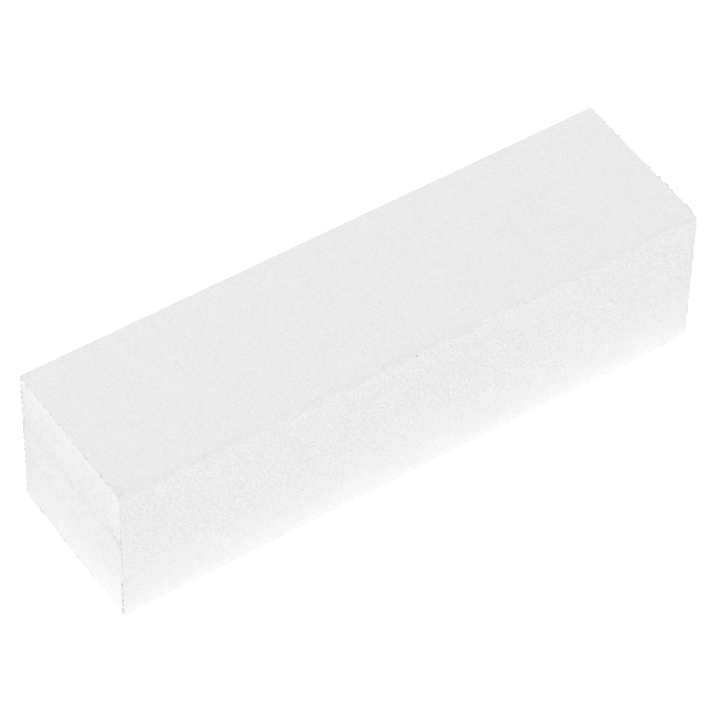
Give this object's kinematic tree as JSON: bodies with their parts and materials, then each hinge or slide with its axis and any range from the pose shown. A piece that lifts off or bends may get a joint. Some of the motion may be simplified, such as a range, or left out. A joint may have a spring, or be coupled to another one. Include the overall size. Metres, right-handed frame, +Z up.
{
  "type": "nail buffer block",
  "caption": "White rectangular nail buffing block: a laminated foam bar wrapped in two folded abrasive sheets, with raw-cut foam ends.",
  "frame": {"origin": "middle of the underside, on the surface that the block rests on", "axes": "+X along the block's length, +Z up, -Y out of the front long face"},
  "size_m": [0.095, 0.0258, 0.0249],
  "materials": {
    "foam": "white closed-cell foam, matt, with a raw knife-cut end",
    "adhesive": "thin dried adhesive, milky and matt",
    "abrasive_grit": "fine white mineral grain in resin, matt and rough",
    "paper_backing": "thin pale paper with a rough cut edge"
  },
  "bodies": {
    "root": {"core_slab_upper": "foam", "core_slab_middle": "foam", "core_slab_lower": "foam", "core_bond_upper": "adhesive", "core_bond_lower": "adhesive", "grit_coat_top_front": "abrasive_grit", "grit_coat_bottom_back": "abrasive_grit", "backing_top_front": "paper_backing", "backing_bottom_back": "paper_backing", "glue_film_top_front": "adhesive", "glue_film_bottom_back": "adhesive"}
  },
  "joints": []
}
